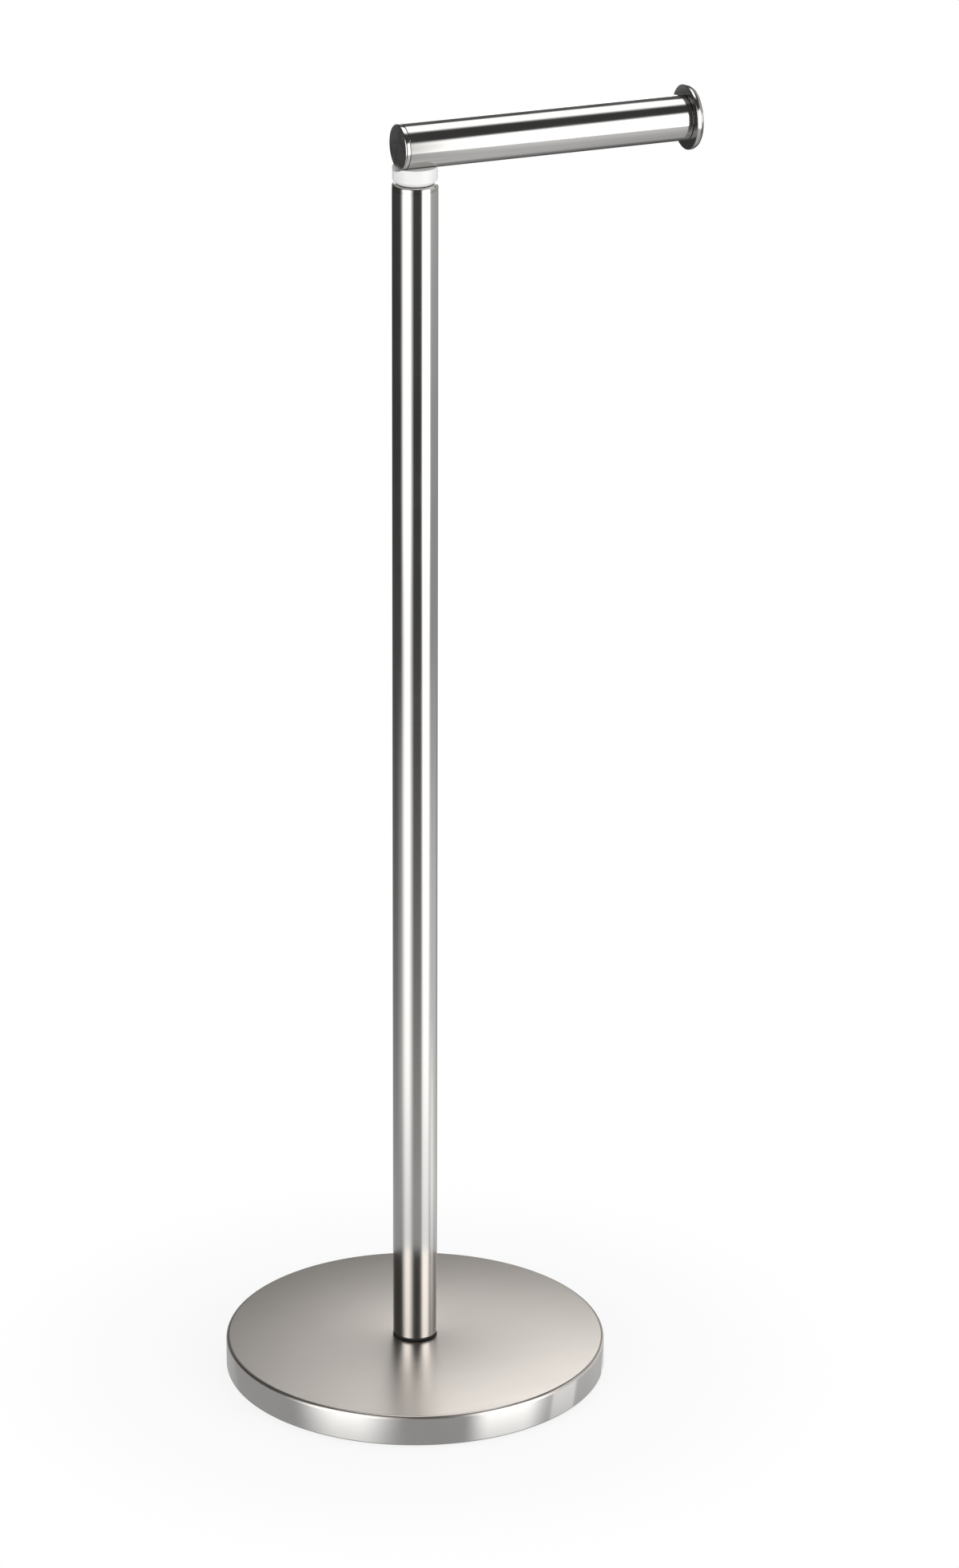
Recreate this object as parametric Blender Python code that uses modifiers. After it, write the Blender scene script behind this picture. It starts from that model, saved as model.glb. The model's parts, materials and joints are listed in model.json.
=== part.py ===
"""Freestanding roll holder: weighted round base, upright tube, and a roll arm that swivels on top.

Units are metres, +Z is up. The origin is the middle of the base's underside, on the column's axis,
and the roll arm points along +X. The arm turns about the column's axis on a nylon collar.
"""

import math

import bmesh
import bpy

MM = 0.001

# ---- Fits and mesh fineness -------------------------------------------------------------------
GAP = 0.3 * MM  # left between pieces that touch or press into each other
RUNNING_CLEARANCE = 0.15 * MM  # radial, between the swivel stud and its bush
SMALL_CHAMFER = 0.4 * MM  # broken edges on turned pieces
LARGE_STEPS = 72  # sides of the base's pieces
TUBE_STEPS = 48  # sides of tube-sized pieces
SMALL_STEPS = 24  # sides of bolts and bores
ARC_STEPS = 4  # straight runs in a rounded edge
SHARP_ANGLE = math.radians(35)  # edges sharper than this aren't shaded smooth

# ---- Base ---------------------------------------------------------------------------------------
BASE_DIAMETER = 190 * MM
BASE_HEIGHT = 15.8 * MM  # cover's rim to its top face
COVER_WALL = 0.8 * MM
COVER_EDGE_RADIUS = 1.8 * MM  # bend between the top face and the side
COVER_HEM = 3.2 * MM  # rim rolled in under the weight
PAD_THICKNESS = 2.0 * MM
PAD_PROUD = 1.2 * MM  # pad stands this far below the rim
PAD_MARGIN = 6 * MM  # from the hem's inner edge to the pad
WEIGHT_CHAMFER = 2.0 * MM

# ---- Column and its bolt ----------------------------------------------------------------------
TUBE_DIAMETER = 22 * MM  # column and arm are cut from the same tube
TUBE_WALL = 0.9 * MM
COLUMN_LENGTH = 594.4 * MM
GASKET_THICKNESS = 0.9 * MM
FOOT_INSERT_LENGTH = 24 * MM
BOLT_DIAMETER = 8 * MM
BOLT_LENGTH = 30 * MM
BOLT_HEAD_FLATS = 13 * MM
BOLT_HEAD_HEIGHT = 5 * MM
BOLT_WASHER_DIAMETER = 18 * MM
BOLT_WASHER_THICKNESS = 1.6 * MM
SPRING_WASHER_DIAMETER = 14.8 * MM
SPRING_WASHER_THICKNESS = 2.0 * MM
SPRING_WASHER_SPLIT = 1.2 * MM
BOLT_POCKET_DIAMETER = 21 * MM
BOLT_HOLE_CLEARANCE = 0.5 * MM  # radial, in the weight, cover and gasket
BOLT_HEAD_ABOVE_PAD = 0.5 * MM

# ---- Column cap and swivel --------------------------------------------------------------------
CAP_HEAD_HEIGHT = 2.4 * MM  # part of the cap that shows above the tube
CAP_SHOULDER_HEIGHT = 1.9 * MM  # rounded part of the head
CAP_SHOULDER_INSET = 2.0 * MM
CAP_SPIGOT_LENGTH = 18 * MM
CAP_WEB_THICKNESS = 8.6 * MM  # below the head, round the bush
CAP_POCKET_DIAMETER = 14.4 * MM
BUSH_WALL = 1.6 * MM
BUSH_FLANGE_DIAMETER = 13 * MM
BUSH_FLANGE_THICKNESS = 1.0 * MM
BUSH_RECESS = 0.5 * MM  # bush ends this far below the cap's top
STUD_DIAMETER = 6 * MM
STUD_TAIL = 2.0 * MM  # thread left showing below the lock nut
STUD_ABOVE_ARM_AXIS = 6.5 * MM
STUD_HOLE_CLEARANCE = 0.3 * MM
SWIVEL_WASHER_DIAMETER = 12 * MM
SWIVEL_WASHER_THICKNESS = 1.6 * MM
WAVE_WASHER_THICKNESS = 0.5 * MM
WAVE_WASHER_HEIGHT = 0.7 * MM  # crest to trough of its mid surface
WAVE_COUNT = 3
LOCK_NUT_FLATS = 10 * MM
LOCK_NUT_HEIGHT = 6 * MM
COLLAR_DIAMETER = 21.6 * MM
COLLAR_HEIGHT = 8.3 * MM
COLLAR_CHAMFER = 1.8 * MM  # upper half of the groove between the cap and the collar
COLLAR_TOP_CHAMFER = 0.4 * MM
CRADLE_DEPTH = 1.45 * MM  # how far the arm tube sits down into the collar

# ---- Arm ----------------------------------------------------------------------------------------
ARM_NEAR_END_X = -8.9 * MM
FLANGE_FACE_X = 138.35 * MM  # face that the roll rests against
END_CAP_THICKNESS = 2.3 * MM
END_CAP_CHAMFER = 0.9 * MM
END_PLUG_REACH = 18 * MM  # spigot length inside the arm tube
FLANGE_DIAMETER = 31.4 * MM
FLANGE_THICKNESS = 4.2 * MM
FLANGE_RIM = 0.8 * MM  # straight part of the flange's edge
FLANGE_ROUNDING = 2.0 * MM  # radial size of the rounded outer edge
FLANGE_DOME = 0.4 * MM  # rise of the outer face to its middle
FLANGE_STUD_DIAMETER = 6 * MM
FLANGE_STUD_LENGTH = 14 * MM
FLANGE_INSERT_LENGTH = 18 * MM

# ---- Places worked out from the sizes above -----------------------------------------------------
BASE_RADIUS = BASE_DIAMETER / 2
COVER_BOTTOM_Z = PAD_PROUD
BASE_TOP_Z = COVER_BOTTOM_Z + BASE_HEIGHT
WEIGHT_RADIUS = BASE_RADIUS - COVER_WALL - GAP
WEIGHT_BOTTOM_Z = max(COVER_BOTTOM_Z + COVER_WALL, PAD_THICKNESS) + GAP
WEIGHT_TOP_Z = BASE_TOP_Z - COVER_WALL - GAP
PAD_RADIUS = BASE_RADIUS - COVER_HEM - PAD_MARGIN
BOLT_RADIUS = BOLT_DIAMETER / 2
BOLT_HOLE_RADIUS = BOLT_RADIUS + BOLT_HOLE_CLEARANCE
BOLT_HEAD_BOTTOM_Z = PAD_THICKNESS + BOLT_HEAD_ABOVE_PAD
BOLT_HEAD_TOP_Z = BOLT_HEAD_BOTTOM_Z + BOLT_HEAD_HEIGHT
SPRING_WASHER_Z = BOLT_HEAD_TOP_Z + GAP
BOLT_WASHER_Z = SPRING_WASHER_Z + SPRING_WASHER_THICKNESS + GAP
POCKET_TOP_Z = BOLT_WASHER_Z + BOLT_WASHER_THICKNESS + GAP
GASKET_Z = BASE_TOP_Z + GAP
COLUMN_BOTTOM_Z = GASKET_Z + GASKET_THICKNESS + GAP
COLUMN_TOP_Z = COLUMN_BOTTOM_Z + COLUMN_LENGTH
TUBE_RADIUS = TUBE_DIAMETER / 2
TUBE_BORE_RADIUS = TUBE_RADIUS - TUBE_WALL
SPIGOT_RADIUS = TUBE_BORE_RADIUS - GAP  # everything pressed into a tube end

CAP_SEAM_Z = COLUMN_TOP_Z + GAP
CAP_TOP_Z = CAP_SEAM_Z + CAP_HEAD_HEIGHT
CAP_SPIGOT_Z = CAP_SEAM_Z - CAP_SPIGOT_LENGTH
CAP_POCKET_Z = CAP_SEAM_Z - CAP_WEB_THICKNESS
STUD_RADIUS = STUD_DIAMETER / 2
STUD_HOLE_RADIUS = STUD_RADIUS + STUD_HOLE_CLEARANCE
BUSH_BORE_RADIUS = STUD_RADIUS + RUNNING_CLEARANCE
BUSH_RADIUS = BUSH_BORE_RADIUS + BUSH_WALL
BUSH_FLANGE_Z = CAP_POCKET_Z - GAP - BUSH_FLANGE_THICKNESS
SWIVEL_WASHER_Z = BUSH_FLANGE_Z - GAP - SWIVEL_WASHER_THICKNESS
WAVE_WASHER_MID_Z = SWIVEL_WASHER_Z - GAP - (WAVE_WASHER_HEIGHT + WAVE_WASHER_THICKNESS) / 2
LOCK_NUT_TOP_Z = WAVE_WASHER_MID_Z - (WAVE_WASHER_HEIGHT + WAVE_WASHER_THICKNESS) / 2 - GAP
LOCK_NUT_Z = LOCK_NUT_TOP_Z - LOCK_NUT_HEIGHT
COLLAR_Z = CAP_TOP_Z + GAP
COLLAR_TOP_Z = COLLAR_Z + COLLAR_HEIGHT
COLLAR_RADIUS = COLLAR_DIAMETER / 2
ARM_AXIS_Z = COLLAR_TOP_Z - CRADLE_DEPTH + TUBE_RADIUS
STUD_TOP_Z = ARM_AXIS_Z + STUD_ABOVE_ARM_AXIS
ARM_TUBE_START_X = ARM_NEAR_END_X + END_CAP_THICKNESS + GAP
ARM_TUBE_END_X = FLANGE_FACE_X - GAP
FLANGE_RADIUS = FLANGE_DIAMETER / 2
FLANGE_STUD_RADIUS = FLANGE_STUD_DIAMETER / 2

# ---- Colours: linear base colour, roughness, metallic ------------------------------------------
FINISHES = {
    "satin_steel": ((0.62, 0.60, 0.57), 0.32, 1.0),
    "polished_steel": ((0.72, 0.71, 0.69), 0.12, 1.0),
    "plated_steel": ((0.55, 0.56, 0.58), 0.30, 1.0),
    "cast_iron": ((0.08, 0.08, 0.085), 0.75, 0.0),
    "white_nylon": ((0.86, 0.86, 0.84), 0.40, 0.0),
    "black_rubber": ((0.02, 0.02, 0.02), 0.80, 0.0),
}


# ---- Scene set-up -------------------------------------------------------------------------------
def clear_scene():
    for obj in list(bpy.data.objects):
        bpy.data.objects.remove(obj, do_unlink=True)


def new_collection(name):
    collection = bpy.data.collections.new(name)
    bpy.context.scene.collection.children.link(collection)
    return collection


def finish_material(slot):
    """The Principled material of that finish, made once."""
    material = bpy.data.materials.get(slot)
    if material is None:
        colour, roughness, metallic = FINISHES[slot]
        material = bpy.data.materials.new(slot)
        material.use_nodes = True
        shader = material.node_tree.nodes["Principled BSDF"]
        shader.inputs["Base Color"].default_value = (*colour, 1.0)
        shader.inputs["Roughness"].default_value = roughness
        shader.inputs["Metallic"].default_value = metallic
    return material


clear_scene()
holder = new_collection("roll_holder")
cutters = new_collection("cutters")


def place(obj, collection, slot=None, parent=None):
    """Links the object to its collection, with its material and its parent."""
    for other in list(obj.users_collection):
        other.objects.unlink(obj)
    collection.objects.link(obj)
    if slot:
        obj.data.materials.clear()
        obj.data.materials.append(finish_material(slot))
    if parent:
        obj.parent = parent
    if collection is cutters:
        obj.hide_render = True
        obj.display_type = "WIRE"
    return obj


# ---- Shapes -------------------------------------------------------------------------------------
def rounded(centre_r, centre_z, size_r, size_z, start, end, steps=ARC_STEPS):
    """Points of an elliptical arc in a turned profile, from one angle to another in degrees."""
    angles = [math.radians(start + (end - start) * i / steps) for i in range(steps + 1)]
    return [(centre_r + size_r * math.cos(a), centre_z + size_z * math.sin(a)) for a in angles]


def turned(name, profile, steps, ring=False):
    """An object turned about Z from (radius, height) points, which run down the outer side.

    A ring's profile closes on itself. Any other profile starts and ends on the axis.
    """
    mesh = bpy.data.meshes.new(name)
    form = bmesh.new()
    points = [form.verts.new((r, 0.0, z)) for r, z in profile]
    for first, second in zip(points, points[1:]):
        form.edges.new((first, second))
    if ring:
        form.edges.new((points[-1], points[0]))
    form.to_mesh(mesh)
    form.free()
    obj = bpy.data.objects.new(name, mesh)
    holder.objects.link(obj)
    screw = obj.modifiers.new("turn", "SCREW")
    screw.axis = "Z"
    screw.angle = 2 * math.pi
    screw.steps = screw.render_steps = steps
    screw.use_merge_vertices = True
    screw.merge_threshold = 0.00001
    screw.use_smooth_shade = True
    return obj


def disc_ring(name, outer, inner, bottom, top, steps, chamfer=0.0):
    """A flat ring whose outer edges may be chamfered."""
    profile = [
        (inner, top),
        (outer - chamfer, top),
        (outer, top - chamfer),
        (outer, bottom + chamfer),
        (outer - chamfer, bottom),
        (inner, bottom),
    ]
    if not chamfer:
        profile = [(inner, top), (outer, top), (outer, bottom), (inner, bottom)]
    return turned(name, profile, steps, ring=True)


def rod_profile(radius, bottom, top, chamfer):
    """Profile of a plain rod with both ends chamfered."""
    return [
        (0.0, top),
        (radius - chamfer, top),
        (radius, top - chamfer),
        (radius, bottom + chamfer),
        (radius - chamfer, bottom),
        (0.0, bottom),
    ]


def cylinder_cutter(name, radius, depth, location, along_x=False, sides=SMALL_STEPS):
    """A hidden cylinder that cuts a bore, centred at its location."""
    bpy.ops.mesh.primitive_cylinder_add(
        vertices=sides, radius=radius, depth=depth, location=location
    )
    cutter = bpy.context.object
    cutter.name = name
    if along_x:
        cutter.rotation_euler = (0.0, math.pi / 2, 0.0)
    return place(cutter, cutters)


def combine(obj, other, operation):
    """Adds a Boolean of the object with another."""
    boolean = obj.modifiers.new(operation.lower(), "BOOLEAN")
    boolean.operation = operation
    boolean.object = other
    boolean.solver = "EXACT"


def lay_along_x(obj, z):
    """Lays a piece made about Z along +X at that height; its origin stays on the swivel's axis."""
    obj.rotation_euler = (0.0, math.pi / 2, 0.0)
    obj.location = (0.0, 0.0, z)
    return obj


def hexagon(name, flats, bottom, top):
    """A hexagonal prism with its corners chamfered by a turned blank."""
    corner = flats / math.sqrt(3)
    height = top - bottom
    bpy.ops.mesh.primitive_cylinder_add(
        vertices=6, radius=corner, depth=height, location=(0, 0, (bottom + top) / 2)
    )
    prism = bpy.context.object
    prism.name = name
    blank_edge = corner - flats / 2
    blank = turned(
        name + "_blank",
        [
            (0.0, top + GAP),
            (flats / 2, top + GAP),
            (flats / 2, top),
            (corner + GAP, top - blank_edge),
            (corner + GAP, bottom + blank_edge),
            (flats / 2, bottom),
            (flats / 2, bottom - GAP),
            (0.0, bottom - GAP),
        ],
        TUBE_STEPS,
    )
    place(blank, cutters)
    combine(prism, blank, "INTERSECT")
    return prism


# ---- Base ---------------------------------------------------------------------------------------
def make_base_cover():
    """Drawn steel shell: flat top, upright side and a hem rolled in under the weight."""
    outer, inner = BASE_RADIUS, BASE_RADIUS - COVER_WALL
    bend, inner_bend = COVER_EDGE_RADIUS, COVER_EDGE_RADIUS - COVER_WALL
    hem_edge = outer - COVER_HEM
    hem_top = COVER_BOTTOM_Z + COVER_WALL
    under_top = BASE_TOP_Z - COVER_WALL
    profile = [(BOLT_HOLE_RADIUS, BASE_TOP_Z)]
    profile += rounded(outer - bend, BASE_TOP_Z - bend, bend, bend, 90, 0)
    profile += rounded(outer - COVER_WALL, hem_top, COVER_WALL, COVER_WALL, 0, -90, 3)
    profile += [(hem_edge, COVER_BOTTOM_Z), (hem_edge, hem_top), (inner, hem_top)]
    profile += rounded(inner - inner_bend, under_top - inner_bend, inner_bend, inner_bend, 0, 90, 3)
    profile += [(BOLT_HOLE_RADIUS, under_top)]
    return place(turned("base_cover", profile, LARGE_STEPS, ring=True), holder, "satin_steel")


def make_base_weight():
    """Cast disc that fills the cover, with a pocket below for the bolt's head and washers."""
    pocket = BOLT_POCKET_DIAMETER / 2
    profile = [
        (BOLT_HOLE_RADIUS, WEIGHT_TOP_Z),
        (WEIGHT_RADIUS - WEIGHT_CHAMFER, WEIGHT_TOP_Z),
        (WEIGHT_RADIUS, WEIGHT_TOP_Z - WEIGHT_CHAMFER),
        (WEIGHT_RADIUS, WEIGHT_BOTTOM_Z),
        (pocket, WEIGHT_BOTTOM_Z),
        (pocket, POCKET_TOP_Z),
        (BOLT_HOLE_RADIUS, POCKET_TOP_Z),
    ]
    return place(turned("base_weight", profile, LARGE_STEPS, ring=True), holder, "cast_iron")


def make_base_pad():
    """Soft non-slip disc stuck to the weight's underside; the holder stands on it."""
    profile = rod_profile(PAD_RADIUS, 0.0, PAD_THICKNESS, SMALL_CHAMFER)
    return place(turned("base_pad", profile, LARGE_STEPS), holder, "black_rubber")


# ---- Column -------------------------------------------------------------------------------------
def make_column_bolt():
    """Hexagon bolt that clamps the weight, cover and gasket to the column."""
    head = hexagon("column_bolt", BOLT_HEAD_FLATS, BOLT_HEAD_BOTTOM_Z, BOLT_HEAD_TOP_Z)
    shank = turned(
        "column_bolt_shank",
        rod_profile(
            BOLT_RADIUS,
            BOLT_HEAD_TOP_Z - BOLT_HEAD_HEIGHT / 2,
            BOLT_HEAD_TOP_Z + BOLT_LENGTH,
            SMALL_CHAMFER,
        ),
        SMALL_STEPS,
    )
    place(shank, cutters)
    combine(head, shank, "UNION")
    return place(head, holder, "plated_steel")


def make_spring_washer():
    """Split lock washer, pressed flat between the bolt's head and the flat washer."""
    outer = SPRING_WASHER_DIAMETER / 2
    washer = disc_ring(
        "column_spring_washer",
        outer,
        BOLT_RADIUS + GAP,
        SPRING_WASHER_Z,
        SPRING_WASHER_Z + SPRING_WASHER_THICKNESS,
        2 * SMALL_STEPS,
    )
    bpy.ops.mesh.primitive_cube_add(size=1.0)
    slit = bpy.context.object
    slit.name = "spring_washer_slit"
    slit.scale = (2 * outer, SPRING_WASHER_SPLIT, 4 * SPRING_WASHER_THICKNESS)
    slit.rotation_euler = (math.radians(30), 0.0, 0.0)
    slit.location = (outer, 0.0, SPRING_WASHER_Z + SPRING_WASHER_THICKNESS / 2)
    place(slit, cutters)
    combine(washer, slit, "DIFFERENCE")
    return place(washer, holder, "plated_steel")


def make_bolt_washer():
    washer = disc_ring(
        "column_flat_washer",
        BOLT_WASHER_DIAMETER / 2,
        BOLT_RADIUS + GAP,
        BOLT_WASHER_Z,
        BOLT_WASHER_Z + BOLT_WASHER_THICKNESS,
        TUBE_STEPS,
    )
    return place(washer, holder, "plated_steel")


def make_foot_gasket():
    """Thin black ring between the column's foot and the cover."""
    gasket = disc_ring(
        "foot_gasket",
        TUBE_RADIUS,
        BOLT_HOLE_RADIUS,
        GASKET_Z,
        GASKET_Z + GASKET_THICKNESS,
        TUBE_STEPS,
    )
    return place(gasket, holder, "black_rubber")


def make_foot_insert():
    """Threaded plug pressed into the foot of the column; the bolt screws into it."""
    insert = disc_ring(
        "foot_insert",
        SPIGOT_RADIUS,
        BOLT_RADIUS + GAP,
        COLUMN_BOTTOM_Z,
        COLUMN_BOTTOM_Z + FOOT_INSERT_LENGTH,
        TUBE_STEPS,
        SMALL_CHAMFER,
    )
    return place(insert, holder, "plated_steel")


def make_column_tube():
    tube = disc_ring(
        "column_tube", TUBE_RADIUS, TUBE_BORE_RADIUS, COLUMN_BOTTOM_Z, COLUMN_TOP_Z, TUBE_STEPS
    )
    return place(tube, holder, "polished_steel")


def make_column_cap():
    """Plug pressed into the top of the column: round-shouldered head, spigot and a pocket below."""
    bore = BUSH_RADIUS + GAP
    pocket = CAP_POCKET_DIAMETER / 2
    shoulder_z = CAP_TOP_Z - CAP_SHOULDER_HEIGHT
    profile = [(bore, CAP_TOP_Z)]
    profile += rounded(
        TUBE_RADIUS - CAP_SHOULDER_INSET,
        shoulder_z,
        CAP_SHOULDER_INSET,
        CAP_SHOULDER_HEIGHT,
        90,
        0,
    )
    profile += [
        (TUBE_RADIUS, CAP_SEAM_Z),
        (SPIGOT_RADIUS, CAP_SEAM_Z),
        (SPIGOT_RADIUS, CAP_SPIGOT_Z + SMALL_CHAMFER),
        (SPIGOT_RADIUS - SMALL_CHAMFER, CAP_SPIGOT_Z),
        (pocket, CAP_SPIGOT_Z),
        (pocket, CAP_POCKET_Z),
        (bore, CAP_POCKET_Z),
    ]
    return place(turned("column_cap", profile, TUBE_STEPS, ring=True), holder, "polished_steel")


def make_swivel_bush():
    """Flanged bush in the cap's bore, in which the stud turns."""
    flange = BUSH_FLANGE_DIAMETER / 2
    profile = [
        (BUSH_BORE_RADIUS, CAP_TOP_Z - BUSH_RECESS),
        (BUSH_RADIUS, CAP_TOP_Z - BUSH_RECESS),
        (BUSH_RADIUS, CAP_POCKET_Z - GAP),
        (flange, CAP_POCKET_Z - GAP),
        (flange, BUSH_FLANGE_Z),
        (BUSH_BORE_RADIUS, BUSH_FLANGE_Z),
    ]
    return place(turned("swivel_bush", profile, SMALL_STEPS, ring=True), holder, "white_nylon")


# ---- Pieces that turn with the arm --------------------------------------------------------------
def make_swivel_stud(swivel):
    """Threaded stud from the lock nut up through the bush and collar into the arm's plug."""
    profile = rod_profile(STUD_RADIUS, LOCK_NUT_Z - STUD_TAIL, STUD_TOP_Z, SMALL_CHAMFER)
    stud = turned("swivel_stud", profile, SMALL_STEPS)
    return place(stud, holder, "plated_steel", swivel)


def make_swivel_washer(swivel):
    washer = disc_ring(
        "swivel_flat_washer",
        SWIVEL_WASHER_DIAMETER / 2,
        STUD_HOLE_RADIUS,
        SWIVEL_WASHER_Z,
        SWIVEL_WASHER_Z + SWIVEL_WASHER_THICKNESS,
        SMALL_STEPS,
    )
    return place(washer, holder, "plated_steel", swivel)


def make_wave_washer(swivel):
    """Spring washer with waves round it, which gives the swivel its friction."""
    flat = disc_ring(
        "wave_washer_blank",
        SWIVEL_WASHER_DIAMETER / 2,
        STUD_HOLE_RADIUS,
        WAVE_WASHER_MID_Z - WAVE_WASHER_THICKNESS / 2,
        WAVE_WASHER_MID_Z + WAVE_WASHER_THICKNESS / 2,
        TUBE_STEPS,
    )
    evaluated = flat.evaluated_get(bpy.context.evaluated_depsgraph_get())
    mesh = bpy.data.meshes.new_from_object(evaluated)
    bpy.data.objects.remove(flat, do_unlink=True)
    for vertex in mesh.vertices:
        angle = math.atan2(vertex.co.y, vertex.co.x)
        vertex.co.z += WAVE_WASHER_HEIGHT / 2 * math.cos(WAVE_COUNT * angle)
    washer = bpy.data.objects.new("swivel_wave_washer", mesh)
    return place(washer, holder, "plated_steel", swivel)


def make_lock_nut(swivel):
    nut = hexagon("swivel_lock_nut", LOCK_NUT_FLATS, LOCK_NUT_Z, LOCK_NUT_TOP_Z)
    bore = cylinder_cutter(
        "lock_nut_bore",
        STUD_HOLE_RADIUS,
        2 * LOCK_NUT_HEIGHT,
        (0, 0, (LOCK_NUT_Z + LOCK_NUT_TOP_Z) / 2),
    )
    combine(nut, bore, "DIFFERENCE")
    return place(nut, holder, "plated_steel", swivel)


def make_swivel_collar(swivel):
    """White bearing collar between the column and the arm, with a cradle for the arm tube on top."""
    profile = [
        (STUD_HOLE_RADIUS, COLLAR_TOP_Z),
        (COLLAR_RADIUS - COLLAR_TOP_CHAMFER, COLLAR_TOP_Z),
        (COLLAR_RADIUS, COLLAR_TOP_Z - COLLAR_TOP_CHAMFER),
        (COLLAR_RADIUS, COLLAR_Z + COLLAR_CHAMFER),
        (COLLAR_RADIUS - COLLAR_CHAMFER, COLLAR_Z),
        (STUD_HOLE_RADIUS, COLLAR_Z),
    ]
    collar = turned("swivel_collar", profile, TUBE_STEPS, ring=True)
    cradle = cylinder_cutter(
        "cradle_cutter",
        TUBE_RADIUS + GAP,
        2 * COLLAR_DIAMETER,
        (0, 0, ARM_AXIS_Z),
        along_x=True,
        sides=2 * TUBE_STEPS,
    )
    combine(collar, cradle, "DIFFERENCE")
    return place(collar, holder, "white_nylon", swivel)


def make_arm_tube(swivel):
    """Roll bar: plain tube with one hole in its lower wall for the stud."""
    tube = disc_ring(
        "arm_tube", TUBE_RADIUS, TUBE_BORE_RADIUS, ARM_TUBE_START_X, ARM_TUBE_END_X, TUBE_STEPS
    )
    lay_along_x(tube, ARM_AXIS_Z)
    hole = cylinder_cutter(
        "arm_tube_hole",
        STUD_HOLE_RADIUS,
        TUBE_RADIUS,
        (0, 0, ARM_AXIS_Z - TUBE_RADIUS),
    )
    combine(tube, hole, "DIFFERENCE")
    return place(tube, holder, "polished_steel", swivel)


def make_arm_end_plug(swivel):
    """Cap and solid spigot in one, in the arm's near end; the stud screws up into the spigot."""
    face = ARM_NEAR_END_X
    seam = face + END_CAP_THICKNESS
    tip = seam + END_PLUG_REACH
    profile = [
        (0.0, tip),
        (SPIGOT_RADIUS - SMALL_CHAMFER, tip),
        (SPIGOT_RADIUS, tip - SMALL_CHAMFER),
        (SPIGOT_RADIUS, seam),
        (TUBE_RADIUS - SMALL_CHAMFER, seam),
        (TUBE_RADIUS, seam - SMALL_CHAMFER),
        (TUBE_RADIUS, face + END_CAP_CHAMFER),
        (TUBE_RADIUS - END_CAP_CHAMFER, face),
        (0.0, face),
    ]
    plug = lay_along_x(turned("arm_end_plug", profile, TUBE_STEPS), ARM_AXIS_Z)
    bore_top = STUD_TOP_Z + GAP
    bore_bottom = ARM_AXIS_Z - TUBE_RADIUS
    bore = cylinder_cutter(
        "arm_plug_bore",
        STUD_HOLE_RADIUS,
        bore_top - bore_bottom,
        (0, 0, (bore_top + bore_bottom) / 2),
    )
    combine(plug, bore, "DIFFERENCE")
    return place(plug, holder, "polished_steel", swivel)


def make_flange_insert(swivel):
    """Threaded insert pressed into the arm's far end."""
    insert = disc_ring(
        "flange_insert",
        SPIGOT_RADIUS,
        FLANGE_STUD_RADIUS + GAP,
        ARM_TUBE_END_X - FLANGE_INSERT_LENGTH,
        ARM_TUBE_END_X,
        TUBE_STEPS,
        SMALL_CHAMFER,
    )
    lay_along_x(insert, ARM_AXIS_Z)
    return place(insert, holder, "plated_steel", swivel)


def make_arm_flange(swivel):
    """Round stop that keeps the roll on the arm, with a threaded shank into the insert."""
    outer_face = FLANGE_FACE_X + FLANGE_THICKNESS
    edge_face = outer_face - FLANGE_DOME
    rim_end = FLANGE_FACE_X + FLANGE_RIM
    profile = [(0.0, outer_face)]
    profile += rounded(
        FLANGE_RADIUS - FLANGE_ROUNDING,
        rim_end,
        FLANGE_ROUNDING,
        edge_face - rim_end,
        90,
        0,
    )
    profile += [
        (FLANGE_RADIUS, FLANGE_FACE_X + SMALL_CHAMFER),
        (FLANGE_RADIUS - SMALL_CHAMFER, FLANGE_FACE_X),
        (FLANGE_STUD_RADIUS, FLANGE_FACE_X),
        (FLANGE_STUD_RADIUS, FLANGE_FACE_X - FLANGE_STUD_LENGTH + SMALL_CHAMFER),
        (FLANGE_STUD_RADIUS - SMALL_CHAMFER, FLANGE_FACE_X - FLANGE_STUD_LENGTH),
        (0.0, FLANGE_FACE_X - FLANGE_STUD_LENGTH),
    ]
    flange = lay_along_x(turned("arm_flange", profile, TUBE_STEPS), ARM_AXIS_Z)
    return place(flange, holder, "polished_steel", swivel)


def make_swivel_axis():
    """Empty on the column's axis that carries everything that turns with the arm."""
    swivel = bpy.data.objects.new("arm_swivel_axis", None)
    holder.objects.link(swivel)
    return swivel


def apply_and_shade():
    """Makes each part a plain mesh, shaded smooth except across its sharp edges."""
    depsgraph = bpy.context.evaluated_depsgraph_get()
    for obj in [part for part in holder.objects if part.type == "MESH"]:
        mesh = bpy.data.meshes.new_from_object(obj.evaluated_get(depsgraph))
        obj.modifiers.clear()
        obj.data = mesh
        mesh.shade_smooth()
        mesh.set_sharp_from_angle(angle=SHARP_ANGLE)


def build():
    make_base_cover()
    make_base_weight()
    make_base_pad()
    make_column_bolt()
    make_spring_washer()
    make_bolt_washer()
    make_foot_gasket()
    make_foot_insert()
    make_column_tube()
    make_column_cap()
    make_swivel_bush()
    swivel = make_swivel_axis()
    make_swivel_stud(swivel)
    make_swivel_washer(swivel)
    make_wave_washer(swivel)
    make_lock_nut(swivel)
    make_swivel_collar(swivel)
    make_arm_tube(swivel)
    make_arm_end_plug(swivel)
    make_flange_insert(swivel)
    make_arm_flange(swivel)
    apply_and_shade()


build()
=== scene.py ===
"""Looks for the freestanding roll holder: finely turned steel, nylon and rubber pieces in a pale studio.

Units are metres, +Z is up. The column stands on the origin and the arm points along +X.
"""

import json
import math

import bmesh
import bpy
from mathutils import Matrix, Vector


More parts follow.
